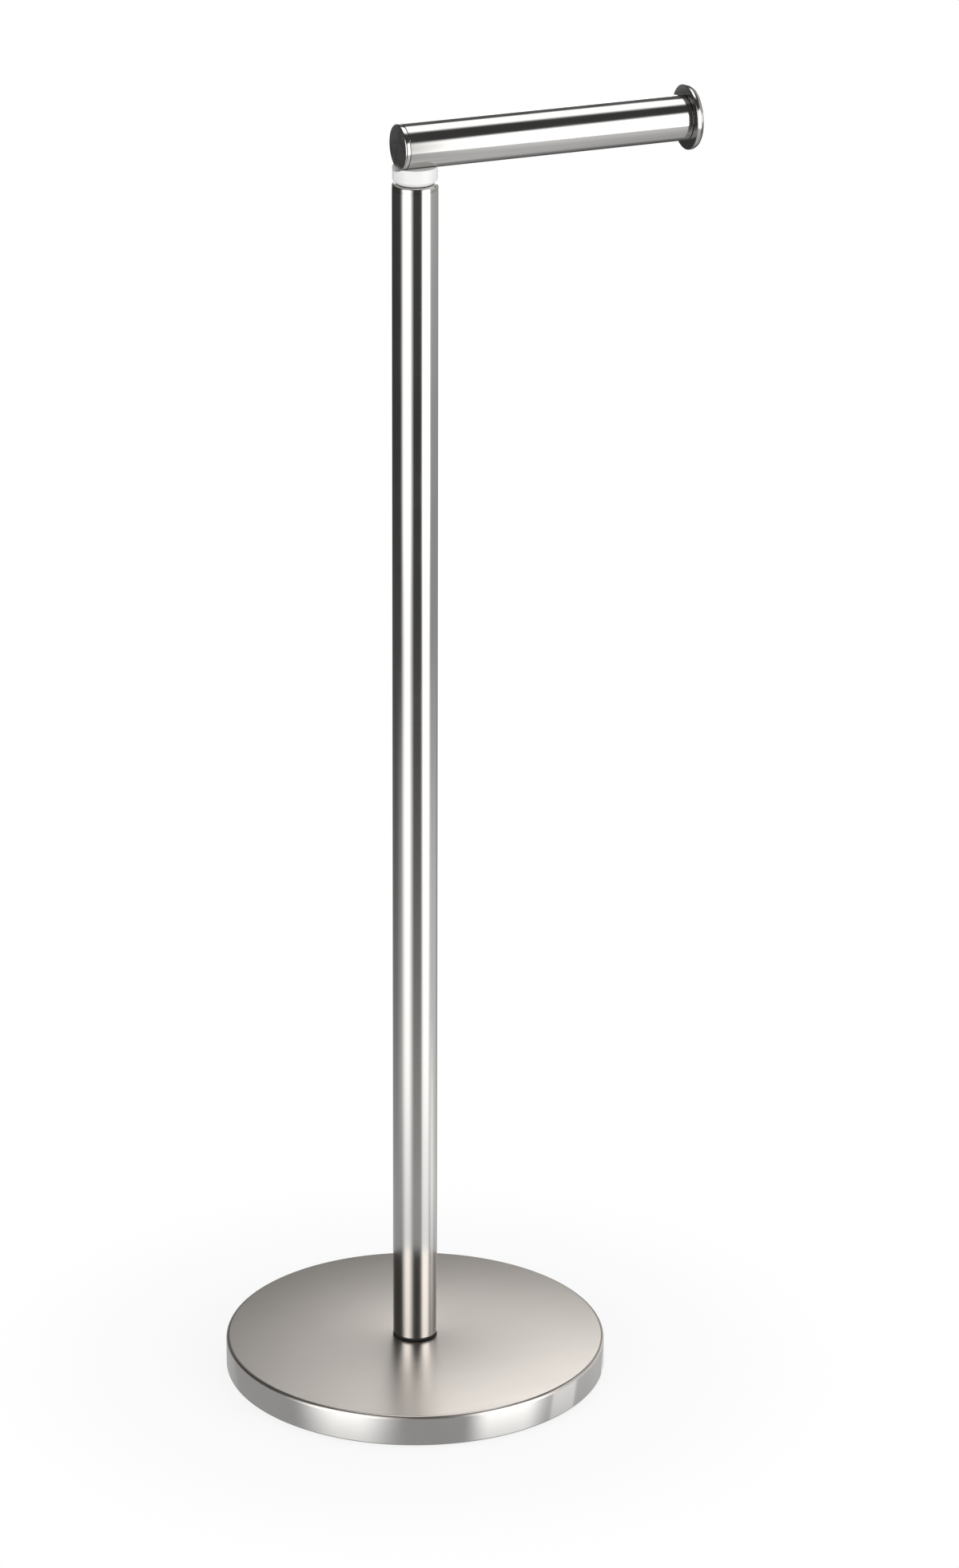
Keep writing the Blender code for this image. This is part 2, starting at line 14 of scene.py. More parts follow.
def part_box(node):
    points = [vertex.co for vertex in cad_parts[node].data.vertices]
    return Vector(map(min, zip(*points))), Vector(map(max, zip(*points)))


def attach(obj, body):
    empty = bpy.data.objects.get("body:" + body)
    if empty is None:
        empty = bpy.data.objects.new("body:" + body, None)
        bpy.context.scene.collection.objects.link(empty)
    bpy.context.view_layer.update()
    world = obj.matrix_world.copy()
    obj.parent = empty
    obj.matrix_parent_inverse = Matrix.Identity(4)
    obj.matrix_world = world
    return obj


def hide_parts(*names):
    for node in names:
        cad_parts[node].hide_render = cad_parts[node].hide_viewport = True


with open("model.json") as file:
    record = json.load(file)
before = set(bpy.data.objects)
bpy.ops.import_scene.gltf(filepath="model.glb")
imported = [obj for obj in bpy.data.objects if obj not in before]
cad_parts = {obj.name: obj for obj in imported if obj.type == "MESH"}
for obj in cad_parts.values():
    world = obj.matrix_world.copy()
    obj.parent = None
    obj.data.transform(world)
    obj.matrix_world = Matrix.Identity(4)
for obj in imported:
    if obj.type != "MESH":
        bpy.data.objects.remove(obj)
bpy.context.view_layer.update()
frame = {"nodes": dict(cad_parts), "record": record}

MM = 0.001

# ---- Camera ---------------------------------------------------------------------------------------
VIEW_AZIMUTH = math.radians(21.7)  # how far the arm is turned away from the picture plane
VIEW_PITCH = math.radians(21.05)  # how far the camera looks down
VIEW_DISTANCE = 2.935  # level distance from the column's axis
VIEW_HEIGHT = 1.4423
VIEW_LENS = 148.2
VIEW_SHIFT = 0.0411

# ---- Studio: azimuths in degrees, 0 towards the camera and positive to the picture's right ---------
# A group of four is where brightness starts and ends its rise, and starts and ends its fall.
LEFT_PANEL = (-79, -45, -36, -4)
RIGHT_PANEL = (28, 45, 68, 90)
PANEL_DISTANCE = 1.36
PANEL_HEIGHT = 1.56
PANEL_FULL_HEIGHT = 1.10  # it fades out above this
LEFT_RADIANCE = 2.35
RIGHT_RADIANCE = 2.45
TOP_RADIANCE = 1.7
BACK_RADIANCE = 1.86
SIDE_RADIANCE = 0.95
TOP_HEIGHT = 1.7
TOP_DEPTH = (-0.28, 0.05, 0.6, 0.95)  # along Y
SIDE_AZIMUTH = 100
SIDE_DISTANCE = 1.25
BACK_DISTANCE = 0.8
BACK_DIM_SHARE = 0.08  # brightness of the back lamp's left part, as a share of its right part
BACK_RISE = (-0.27, 0.17)  # metres to the picture's right
DARK_WALLS = 0.05
AMBIENT = 0.35
WALL_BEHIND = 0.08
WALL_RIGHT = 0.42
WALL_RIGHT_SPREAD = (78, 92, 145, 170)
WALL_TOP = (0.75, 0.5)  # the walls end between these rises

# ---- Floor: what metal sees in it, with painted light glowing from the floor, and what the camera sees ---
FLOOR_RADIUS = 6.0
FLOOR_WHITE = 0.9
FLOOR_ROUGHNESS = 0.12
MIRROR_GAIN = 1.9
MIRROR_POWER = 2.7
PAINTED_POOL_GLOW = 0.56  # painted pool of light under the object: the floor itself glows with it
POOL_REACH = 0.45
POOL_NEAR = (0.1, 0.2, 0.84)  # the pool is dimmer, by the last share, inside the first distance
PAINTED_WASH_GLOW = 0.37  # painted light glowing from the floor, standing in for the light that the two panels throw on it
WASH_LEFT = (-112, -48, -34, -2)
WASH_RIGHT = (22, 56, 68, 98)
WASH_REACH = (0.12, 0.36, 0.7, 1.2)
PAINTED_PATCH_GLOW = 0.27  # painted patch of light to the right, glowing from the floor
PATCH_SPREAD = (72, 90, 120, 150)
PATCH_REACH = (0.1, 0.22, 0.5, 1.3)
SHADOW_SHARE = 0.16
SHADOW_REACH = (0.24, 0.1)

# ---- Sizes that the CAD boxes don't give ---------------------------------------------------------
TUBE_WALL = 0.9 * MM
COVER_WALL = 0.8 * MM
COVER_HEM = 3.2 * MM
COVER_BEND = 1.8 * MM
CAP_INSET = 1.2 * MM
CAP_SHOULDER = 0.8 * MM
CAP_WEB = 8.6 * MM
CAP_POCKET_RADIUS = 7.2 * MM
BUSH_HOLE_RADIUS = 5.05 * MM
BOLT_HOLE_RADIUS = 4.5 * MM
STUD_HOLE_RADIUS = 3.3 * MM
COLLAR_CHAMFER = 1.8 * MM
END_CAP_THICKNESS = 2.3 * MM
END_CAP_EDGE = 0.8 * MM
FLANGE_THICKNESS = 4.2 * MM
FLANGE_RIM = 0.8 * MM
FLANGE_ROUNDING = 2.0 * MM
FLANGE_DOME = 0.4 * MM
FLANGE_STUD_RADIUS = 3.0 * MM
GAP = 0.3 * MM
FINE_EDGE = 0.15 * MM  # broken edge on turned metal
HAIRLINE = 0.04 * MM  # seam between the column and its cap, pressed tight

ROUND_STEPS = 192
BASE_STEPS = 384
SHARP = math.radians(32)


# ==== Mesh tools =====================================================================================
def filleted(corners, closed=True, steps=6):
    """Profile points from (radius, height, fillet) corners, each rounded by its own fillet."""
    points = []
    count = len(corners)
    for index, (radius, height, fillet) in enumerate(corners):
        corner = Vector((radius, height))
        at_end = not closed and index in (0, count - 1)
        if fillet == 0 or at_end:
            points.append(corner)
            continue
        before = (Vector(corners[index - 1][:2]) - corner).normalized()
        after = (Vector(corners[(index + 1) % count][:2]) - corner).normalized()
        half_angle = before.angle(after) / 2
        reach = fillet / math.tan(half_angle)
        centre = corner + (before + after).normalized() * fillet / math.sin(half_angle)
        first = corner + before * reach - centre
        last = corner + after * reach - centre
        points += [centre + first.slerp(last, step / steps) * fillet for step in range(steps + 1)]
    return points


def quarter(centre_radius, centre_height, size_radius, size_height, steps=10):
    """Points of an elliptical quarter from its top to its outer side."""
    angles = [math.pi / 2 * (1 - step / steps) for step in range(steps + 1)]
    return [
        Vector((centre_radius + size_radius * math.cos(a), centre_height + size_height * math.sin(a)))
        for a in angles
    ]


def turned(name, points, closed=True, steps=ROUND_STEPS, along_x_at=None):
    """A closed mesh turned from profile points that run down the outer side.

    It stands on Z, or lies along X with its axis at the height along_x_at.
    """
    form = bmesh.new()
    rings = []
    for point in points:
        if point[0] < 1e-7:
            rings.append([form.verts.new((0.0, 0.0, point[1]))])
            continue
        ring = []
        for step in range(steps):
            angle = 2 * math.pi * step / steps
            flat = (point[0] * math.cos(angle), point[0] * math.sin(angle))
            ring.append(form.verts.new((*flat, point[1])))
        rings.append(ring)
    pairs = list(zip(rings, rings[1:]))
    if closed:
        pairs.append((rings[-1], rings[0]))
    for upper, lower in pairs:
        for step in range(steps):
            after = (step + 1) % steps
            if len(upper) == 1:
                form.faces.new((upper[0], lower[step], lower[after]))
            elif len(lower) == 1:
                form.faces.new((upper[step], lower[0], upper[after]))
            else:
                form.faces.new((upper[step], lower[step], lower[after], upper[after]))
    bmesh.ops.recalc_face_normals(form, faces=form.faces)
    if along_x_at is not None:
        lay = Matrix.Translation((0, 0, along_x_at)) @ Matrix.Rotation(math.pi / 2, 4, "Y")
        bmesh.ops.transform(form, matrix=lay, verts=form.verts)
    mesh = bpy.data.meshes.new(name)
    form.to_mesh(mesh)
    form.free()
    obj = bpy.data.objects.new(name, mesh)
    bpy.context.scene.collection.objects.link(obj)
    shade(obj)
    return obj


def shade(obj):
    obj.data.shade_smooth()
    obj.data.set_sharp_from_angle(angle=SHARP)


def cut(obj, cutter):
    """Cuts one mesh from another for good, and removes the cutter."""
    boolean = obj.modifiers.new("cut", "BOOLEAN")
    boolean.operation = "DIFFERENCE"
    boolean.object = cutter
    boolean.solver = "EXACT"
    bpy.context.view_layer.update()
    evaluated = obj.evaluated_get(bpy.context.evaluated_depsgraph_get())
    mesh = bpy.data.meshes.new_from_object(evaluated)
    obj.modifiers.clear()
    obj.data = mesh
    bpy.data.objects.remove(cutter, do_unlink=True)
    shade(obj)


# ==== Materials ======================================================================================
class Graph:
    """A material's or the world's node tree, with short ways to add and join nodes."""

    def __init__(self, owner):
        owner.use_nodes = True
        self.tree = owner.node_tree
        self.tree.nodes.clear()

    def add(self, kind, inputs=None, **settings):
        """Adds a node. An input is a value, or another node's output to link."""
        made = self.tree.nodes.new(kind)
        for key, value in settings.items():
            setattr(made, key, value)
        for key, value in (inputs or {}).items():
            if isinstance(value, bpy.types.NodeSocket):
                self.tree.links.new(value, made.inputs[key])
            else:
                made.inputs[key].default_value = value
        return made

    def math(self, operation, *values):
        made = self.add("ShaderNodeMath", dict(enumerate(values)), operation=operation)
        return made.outputs[0]

    def between(self, value, low, high, to_low=0.0, to_high=1.0):
        """Smoothly maps a value from one range to another, and stops at its ends."""
        inputs = {"Value": value, "From Min": low, "From Max": high, "To Min": to_low, "To Max": to_high}
        made = self.add("ShaderNodeMapRange", inputs, interpolation_type="SMOOTHSTEP")
        return made.outputs["Result"]

    def ramps(self, value, rise_start, rise_end, fall_start, fall_end):
        """Rises from 0 to 1 over one range, and falls back to 0 over another."""
        rise = self.between(value, rise_start, rise_end)
        fall = self.between(value, fall_start, fall_end)
        return self.math("SUBTRACT", rise, fall)

    def noise(self, place, scale, detail=2.0, roughness=0.5):
        inputs = {"Vector": place, "Scale": scale, "Detail": detail, "Roughness": roughness}
        return self.add("ShaderNodeTexNoise", inputs).outputs["Fac"]

    def stretched(self, scale):
        """Object coordinates in metres, scaled for each axis."""
        place = self.add("ShaderNodeTexCoord").outputs["Object"]
        return self.add("ShaderNodeMapping", {"Vector": place, "Scale": scale}).outputs["Vector"]

    def colour(self, factor, first, second):
        inputs = {0: factor, 6: (*first, 1.0), 7: (*second, 1.0)}
        made = self.add("ShaderNodeMix", inputs, data_type="RGBA")
        return made.outputs[2]

    def bump(self, height, distance, strength=1.0, under=None):
        inputs = {"Height": height, "Distance": distance, "Strength": strength}
        if under is not None:
            inputs["Normal"] = under
        return self.add("ShaderNodeBump", inputs).outputs["Normal"]

    def surface(self, **inputs):
        """The Principled shader on the material's output; _ in a name stands for a space."""
        named = {key.replace("_", " "): value for key, value in inputs.items()}
        shader = self.add("ShaderNodeBsdfPrincipled", named)
        self.add("ShaderNodeOutputMaterial", {"Surface": shader.outputs[0]})


def polished_steel(name, along):
    """Tube polished almost to a mirror: faint lapping lines round it, haze and tiny pits."""
    material = bpy.data.materials.new(name)
    graph = Graph(material)
    plain = graph.stretched((1.0, 1.0, 1.0))
    lines = [30.0, 30.0, 30.0]
    lines["XYZ".index(along)] = 5200.0
    lapping = graph.noise(graph.stretched(lines), 1.0, 3.0, 0.6)
    haze = graph.noise(plain, 34.0, 3.0, 0.55)
    pits = graph.noise(plain, 900.0, 2.0, 0.6)
    smudge = graph.between(haze, 0.35, 0.75, 0.11, 0.145)
    wear = graph.between(lapping, 0.3, 0.7, -0.012, 0.012)
    tint = graph.colour(haze, (0.640, 0.628, 0.610), (0.680, 0.668, 0.652))
    relief = graph.bump(lapping, 0.0000012)
    relief = graph.bump(pits, 0.0000008, under=relief)
    graph.surface(
        Base_Color=tint,
        Metallic=1.0,
        Roughness=graph.math("ADD", smudge, wear),
        Normal=relief,
    )
    return material


def turned_steel(name, smoothest, roughest, groove):
    """Polished on its round side. Its flat ends are faced on a lathe, with rings as deep as groove."""
    material = bpy.data.materials.new(name)
    graph = Graph(material)
    plain = graph.stretched((1.0, 1.0, 1.0))
    normal = graph.add("ShaderNodeTexCoord").outputs["Normal"]
    facing = graph.math("ABSOLUTE", graph.add("ShaderNodeSeparateXYZ", {"Vector": normal}).outputs["X"])
    faced = graph.between(facing, 0.9, 0.985)
    place = graph.add("ShaderNodeTexCoord").outputs["Object"]
    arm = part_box("arm_tube")
    axis_height = (arm[0].z + arm[1].z) / 2
    from_axis = graph.add(
        "ShaderNodeMapping", {"Vector": place, "Location": (0, 0, -axis_height), "Scale": (0, 1, 1)}
    ).outputs["Vector"]
    radius = graph.add("ShaderNodeVectorMath", {0: from_axis}, operation="LENGTH").outputs["Value"]
    ring_inputs = {"W": radius, "Scale": 4200.0, "Detail": 2.0}
    rings = graph.add("ShaderNodeTexNoise", ring_inputs, noise_dimensions="1D")
    cloud = graph.noise(plain, 260.0, 3.0, 0.6)
    dull = graph.between(cloud, 0.3, 0.7, smoothest, roughest)
    shine = graph.between(cloud, 0.3, 0.7, 0.11, 0.15)
    blend = graph.add("ShaderNodeMix", {0: faced, 2: shine, 3: dull}).outputs[0]
    tint = graph.colour(cloud, (0.600, 0.590, 0.575), (0.680, 0.670, 0.655))
    relief = graph.bump(rings.outputs["Fac"], groove, faced)
    graph.surface(Base_Color=tint, Metallic=1.0, Roughness=blend, Normal=relief)
    return material


def cover_steel(name):
    """Drawn cover: a satin top with a very fine brushed grain, and a polished side."""
    material = bpy.data.materials.new(name)
    graph = Graph(material)
    plain = graph.stretched((1.0, 1.0, 1.0))
    normal = graph.add("ShaderNodeTexCoord").outputs["Normal"]
    upward = graph.add("ShaderNodeSeparateXYZ", {"Vector": normal}).outputs["Z"]
    top = graph.between(upward, 0.02, 0.3)
    grain = graph.noise(graph.stretched((60.0, 3800.0, 900.0)), 1.0, 4.0, 0.65)
    streaks = graph.noise(graph.stretched((14.0, 420.0, 420.0)), 1.0, 2.0, 0.5)
    cloud = graph.noise(plain, 22.0, 4.0, 0.6)
    warm = graph.colour(graph.between(cloud, 0.3, 0.7), (0.636, 0.594, 0.552), (0.654, 0.613, 0.570))
    bright = graph.colour(graph.between(cloud, 0.3, 0.7), (0.640, 0.628, 0.612), (0.680, 0.668, 0.652))
    tint = graph.add("ShaderNodeMix", {0: top, 6: bright, 7: warm}, data_type="RGBA").outputs[2]
    satin = graph.between(streaks, 0.3, 0.7, 0.285, 0.305)
    polish = graph.between(cloud, 0.3, 0.7, 0.07, 0.10)
    sheen = graph.add("ShaderNodeMix", {0: top, 2: polish, 3: satin}).outputs[0]
    relief = graph.bump(grain, 0.0000012, top)
    graph.surface(Base_Color=tint, Metallic=1.0, Roughness=sheen, Normal=relief)
    return material


def white_nylon(name):
    """Moulded nylon with a slight gloss, a faint grain and a little light in it."""
    material = bpy.data.materials.new(name)
    graph = Graph(material)
    plain = graph.stretched((1.0, 1.0, 1.0))
    cloud = graph.noise(plain, 120.0, 3.0, 0.5)
    grain = graph.noise(plain, 2600.0, 2.0, 0.6)
    graph.surface(
        Base_Color=graph.colour(cloud, (0.86, 0.86, 0.845), (0.90, 0.90, 0.885)),
        Roughness=graph.between(cloud, 0.3, 0.7, 0.30, 0.40),
        Subsurface_Weight=0.15,
        Subsurface_Radius=(0.002, 0.002, 0.0016),
        Normal=graph.bump(grain, 0.000006),
    )
    return material


def black_rubber(name):
    """Matt black rubber with a fine pebble grain and pale dust in it."""
    material = bpy.data.materials.new(name)
    graph = Graph(material)
    plain = graph.stretched((1.0, 1.0, 1.0))
    pebble = graph.add("ShaderNodeTexVoronoi", {"Vector": plain, "Scale": 1400.0}).outputs["Distance"]
    dust = graph.noise(plain, 70.0, 4.0, 0.6)
    graph.surface(
        Base_Color=graph.colour(dust, (0.016, 0.016, 0.017), (0.032, 0.031, 0.030)),
        Roughness=graph.between(dust, 0.3, 0.7, 0.68, 0.85),
        Normal=graph.bump(pebble, 0.00003),
    )
    return material


def cast_iron(name):
    """Painted sand casting: lumpy, rough and nearly black."""
    material = bpy.data.materials.new(name)
    graph = Graph(material)
    plain = graph.stretched((1.0, 1.0, 1.0))
    sand = graph.noise(plain, 1100.0, 5.0, 0.7)
    lumps = graph.noise(plain, 150.0, 3.0, 0.5)
    relief = graph.bump(lumps, 0.0002)
    graph.surface(
        Base_Color=graph.colour(sand, (0.045, 0.045, 0.048), (0.085, 0.083, 0.080)),
        Roughness=graph.between(sand, 0.3, 0.7, 0.6, 0.85),
        Normal=graph.bump(sand, 0.00006, under=relief),
    )
    return material


def plated_steel(name):
    """Bright zinc plate with a cool, slightly mottled colour."""
    material = bpy.data.materials.new(name)
    graph = Graph(material)
    plain = graph.stretched((1.0, 1.0, 1.0))
    mottle = graph.noise(plain, 320.0, 4.0, 0.6)
    graph.surface(
        Base_Color=graph.colour(mottle, (0.50, 0.52, 0.55), (0.62, 0.62, 0.60)),
        Metallic=1.0,
        Roughness=graph.between(mottle, 0.3, 0.7, 0.24, 0.38),
        Normal=graph.bump(mottle, 0.00001),
    )
    return material


materials = {
    "cover_steel": cover_steel("satin_steel_cover"),
    "white_nylon": white_nylon("white_nylon_moulded"),
    "black_rubber": black_rubber("black_rubber_grain"),
    "cast_iron": cast_iron("cast_iron_painted"),
    "plated_steel": plated_steel("plated_steel_mottled"),
    "upright_steel": polished_steel("polished_steel_upright", "Z"),
    "arm_steel": polished_steel("polished_steel_arm", "X"),
    "end_steel": turned_steel("polished_steel_faced", 0.24, 0.34, 0.000003),
    "stop_steel": turned_steel("polished_steel_stop", 0.12, 0.16, 0.0000006),
}


def fit(piece, node, body, material):
    """Puts a finished piece in a CAD node's place."""
    piece.data.materials.clear()
    piece.data.materials.append(materials[material])
    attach(piece, body)
    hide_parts(node)


# ==== Base ===========================================================================================
def make_cover():
    low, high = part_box("base_cover")
    outer, inner = high.x, high.x - COVER_WALL
    under = high.z - COVER_WALL
    hem_top = low.z + COVER_WALL
    corners = [
        (BOLT_HOLE_RADIUS, high.z, FINE_EDGE),
        (outer, high.z, COVER_BEND),
        (outer, low.z, COVER_WALL * 0.99),
        (outer - COVER_HEM, low.z, FINE_EDGE),
        (outer - COVER_HEM, hem_top, FINE_EDGE),
        (inner, hem_top, 0),
        (inner, under, 0),
        (BOLT_HOLE_RADIUS, under, FINE_EDGE),
    ]
    cover = turned("cover_shell", filleted(corners, steps=10), steps=BASE_STEPS)
    fit(cover, "base_cover", "stand", "cover_steel")


def make_pad():
    low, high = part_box("base_pad")
    corners = [
        (0, high.z, 0),
        (high.x, high.z, 0.3 * MM),
        (high.x, low.z, 0.4 * MM),
        (0, low.z, 0),
    ]
    pad = turned("floor_pad", filleted(corners, closed=False), closed=False, steps=BASE_STEPS)
    fit(pad, "base_pad", "stand", "black_rubber")


# ==== Column =========================================================================================
def make_gasket():
    low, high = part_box("foot_gasket")
    corners = [
        (BOLT_HOLE_RADIUS, high.z, 0.1 * MM),
        (high.x, high.z, 0.35 * MM),
        (high.x, low.z, 0.35 * MM),
        (BOLT_HOLE_RADIUS, low.z, 0.1 * MM),
    ]
    gasket = turned("foot_ring", filleted(corners))
    fit(gasket, "foot_gasket", "stand", "black_rubber")


def make_column():
    low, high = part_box("column_tube")
    corners = [
        (high.x - TUBE_WALL, high.z, FINE_EDGE),
        (high.x, high.z, HAIRLINE),
        (high.x, low.z, FINE_EDGE),
        (high.x - TUBE_WALL, low.z, FINE_EDGE),
    ]
    column = turned("column_pipe", filleted(corners))
    fit(column, "column_tube", "stand", "upright_steel")


def make_cap():
    low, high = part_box("column_cap")
    column_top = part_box("column_tube")[1].z
    seam = column_top + HAIRLINE
    pocket_top = column_top + GAP - CAP_WEB
    radius = high.x
    spigot = radius - TUBE_WALL - GAP
    profile = [Vector((BUSH_HOLE_RADIUS, high.z))]
    profile += quarter(radius - CAP_INSET, high.z - CAP_SHOULDER, CAP_INSET, CAP_SHOULDER)
    profile += [Vector((radius, seam))]
    pocket = CAP_POCKET_RADIUS
    spigot_corners = [(spigot, seam, 0), (spigot, low.z, 0.4 * MM), (pocket, low.z, FINE_EDGE)]
    profile += filleted(spigot_corners, closed=False)
    profile += [Vector((pocket, pocket_top)), Vector((BUSH_HOLE_RADIUS, pocket_top))]
    cap = turned("column_top", profile)
    fit(cap, "column_cap", "stand", "upright_steel")


def make_collar(arm_height, tube_radius):
    low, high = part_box("swivel_collar")
    corners = [
        (STUD_HOLE_RADIUS, high.z, FINE_EDGE),
        (high.x, high.z, 0.4 * MM),
        (high.x, low.z + COLLAR_CHAMFER, 0.5 * MM),
        (high.x - COLLAR_CHAMFER, low.z, 0.2 * MM),
        (STUD_HOLE_RADIUS, low.z, FINE_EDGE),
    ]
    collar = turned("swivel_bearing", filleted(corners))
    reach = 2 * high.x
    around = tube_radius + GAP
    points = [Vector(point) for point in ((0, reach), (around, reach), (around, -reach), (0, -reach))]
    cut(collar, turned("cradle", points, closed=False, along_x_at=arm_height))
    fit(collar, "swivel_collar", "arm", "white_nylon")


# ==== Arm ============================================================================================
def stud_drill(low_z, high_z):
    """A cutter for the hole that the swivel's stud passes up through."""
    corners = ((0, high_z), (STUD_HOLE_RADIUS, high_z), (STUD_HOLE_RADIUS, low_z), (0, low_z))
    return turned("drill", [Vector(p) for p in corners], closed=False, steps=48)


def make_arm(arm_height, tube_radius):
    low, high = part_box("arm_tube")
    corners = [
        (tube_radius - TUBE_WALL, high.x, FINE_EDGE),
        (tube_radius, high.x, FINE_EDGE),
        (tube_radius, low.x, FINE_EDGE),
        (tube_radius - TUBE_WALL, low.x, FINE_EDGE),
    ]
    arm = turned("arm_pipe", filleted(corners), along_x_at=arm_height)
    cut(arm, stud_drill(low.z - tube_radius, arm_height))
    fit(arm, "arm_tube", "arm", "arm_steel")


def make_end_plug(arm_height, tube_radius):
    low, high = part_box("arm_end_plug")
    seam = low.x + END_CAP_THICKNESS
    spigot = tube_radius - TUBE_WALL - GAP
    corners = [
        (0, high.x, 0),
        (spigot, high.x, 0.4 * MM),
        (spigot, seam, 0),
        (tube_radius, seam, FINE_EDGE),
        (tube_radius, low.x, END_CAP_EDGE),
        (0, low.x, 0),
    ]
    plug = turned("arm_cap", filleted(corners, closed=False), closed=False, along_x_at=arm_height)
    stud_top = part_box("swivel_stud")[1].z + GAP
    cut(plug, stud_drill(low.z - tube_radius, stud_top))
    fit(plug, "arm_end_plug", "arm", "end_steel")


def make_flange(arm_height):
    low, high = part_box("arm_flange")
    radius = high.y
    face = high.x - FLANGE_THICKNESS
    rim = face + FLANGE_RIM
    edge = high.x - FLANGE_DOME
    flat = radius - FLANGE_ROUNDING
    dome_steps = 6
    profile = [
        Vector((flat * step / dome_steps, high.x - FLANGE_DOME * (step / dome_steps) ** 2))
        for step in range(dome_steps)
    ]
    profile += quarter(flat, rim, FLANGE_ROUNDING, edge - rim)
    profile += filleted(
        [
            (radius, rim, 0),
            (radius, face, 0.4 * MM),
            (FLANGE_STUD_RADIUS, face, 0),
            (FLANGE_STUD_RADIUS, low.x, 0.4 * MM),
            (0, low.x, 0),
        ],
        closed=False,
    )[1:]
    flange = turned("roll_stop", profile, closed=False, along_x_at=arm_height)
    fit(flange, "arm_flange", "arm", "stop_steel")


def dress_hidden_nodes():
    """Gives each CAD node that stays its own fine material."""
    for entry in frame["record"]["subparts"]:
        node = frame["nodes"][entry["node"]]
        if not node.hide_render:
            node.data.materials.clear()
            node.data.materials.append(materials[entry["material_slot"]])


def make_holder():
    arm_low, arm_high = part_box("arm_tube")
    arm_height = (arm_low.z + arm_high.z) / 2
    tube_radius = arm_high.y
    make_cover()
    make_pad()
    make_gasket()
    make_column()
    make_cap()
    make_collar(arm_height, tube_radius)
    make_arm(arm_height, tube_radius)
    make_end_plug(arm_height, tube_radius)
    make_flange(arm_height)
    dress_hidden_nodes()


# ==== Studio =========================================================================================
def toward(azimuth_degrees):
    """Level direction from the object: 0 is back to the camera, positive is to the picture's right."""
    angle = math.radians(azimuth_degrees) - VIEW_AZIMUTH
    return Vector((math.sin(angle), -math.cos(angle), 0.0))


def azimuth_of(graph, place):
    """Azimuth of a point or direction in degrees, counted as toward() does, and its height."""
    turned_place = graph.add(
        "ShaderNodeMapping", {"Vector": place, "Rotation": (0, 0, VIEW_AZIMUTH)}
    ).outputs["Vector"]
    parts = graph.add("ShaderNodeSeparateXYZ", {"Vector": turned_place}).outputs
    angle = graph.math("ARCTAN2", parts["X"], graph.math("MULTIPLY", parts["Y"], -1.0))
    return graph.math("MULTIPLY", angle, 180 / math.pi), parts["Z"]


def softbox(name, centre, aim, width, height, radiance):
    """A rectangular lamp of an even brightness."""
    lamp = bpy.data.lights.new(name, "AREA")
    lamp.shape = "RECTANGLE"
    lamp.size = width
    lamp.size_y = height
    lamp.energy = radiance * math.pi * width * height
    obj = bpy.data.objects.new(name, lamp)
    obj.location = centre
    obj.rotation_euler = (Vector(aim) - Vector(centre)).to_track_quat("-Z", "Y").to_euler()
    obj.visible_camera = False
    bpy.context.scene.collection.objects.link(obj)
    return obj


def soften(lamp, graph, brightness):
    """Makes a lamp's brightness vary over its face."""
    glow = graph.add("ShaderNodeEmission", {"Strength": brightness})
    graph.add("ShaderNodeOutputLight", {"Surface": glow.outputs[0]})


def make_panel(name, spread, radiance):
    """An upright panel of light on the floor, which fades towards its sides and its top."""
    middle = (spread[0] + spread[3]) / 2
    width = 2 * PANEL_DISTANCE * math.tan(math.radians(spread[3] - spread[0]) / 2)
    centre = toward(middle) * PANEL_DISTANCE + Vector((0, 0, PANEL_HEIGHT / 2))
    panel = softbox(name, centre, (0, 0, PANEL_HEIGHT / 2), width, PANEL_HEIGHT, radiance)
    graph = Graph(panel.data)
    place = graph.add("ShaderNodeNewGeometry").outputs["Position"]
    azimuth, height = azimuth_of(graph, place)
    sideways = graph.ramps(azimuth, *spread)
    upward = graph.between(height, PANEL_HEIGHT, PANEL_FULL_HEIGHT)
    soften(panel, graph, graph.math("MULTIPLY", sideways, upward))


def make_lamps():
    """Two soft panels left and right of the camera, and softboxes overhead, to the right and behind."""
    make_panel("softbox_left", LEFT_PANEL, LEFT_RADIANCE)
    make_panel("softbox_right", RIGHT_PANEL, RIGHT_RADIANCE)

    top_centre = Vector((0.27, 0.3, TOP_HEIGHT))
    top = softbox("softbox_top", top_centre, top_centre.xy.to_3d(), 1.04, 1.3, TOP_RADIANCE)
    graph = Graph(top.data)
    place = graph.add("ShaderNodeNewGeometry").outputs["Position"]
    depth = graph.add("ShaderNodeSeparateXYZ", {"Vector": place}).outputs["Y"]
    soften(top, graph, graph.ramps(depth, *TOP_DEPTH))

    side_aim = Vector((0, 0, 0.62))
    side_centre = side_aim + toward(SIDE_AZIMUTH) * SIDE_DISTANCE
    softbox("softbox_side", side_centre, side_aim, 0.5, 0.36, SIDE_RADIANCE)

    aside = toward(90)
    back_aim = aside * -0.2 + Vector((0, 0, 0.64))
    back_centre = back_aim + toward(180) * BACK_DISTANCE
    back = softbox("softbox_back", back_centre, back_aim, 1.1, 0.46, BACK_RADIANCE)
    graph = Graph(back.data)
    place = graph.add("ShaderNodeNewGeometry").outputs["Position"]
    across = graph.add("ShaderNodeVectorMath", {0: place, 1: aside}, operation="DOT_PRODUCT")
    soften(back, graph, graph.between(across.outputs["Value"], *BACK_RISE, BACK_DIM_SHARE, 1.0))


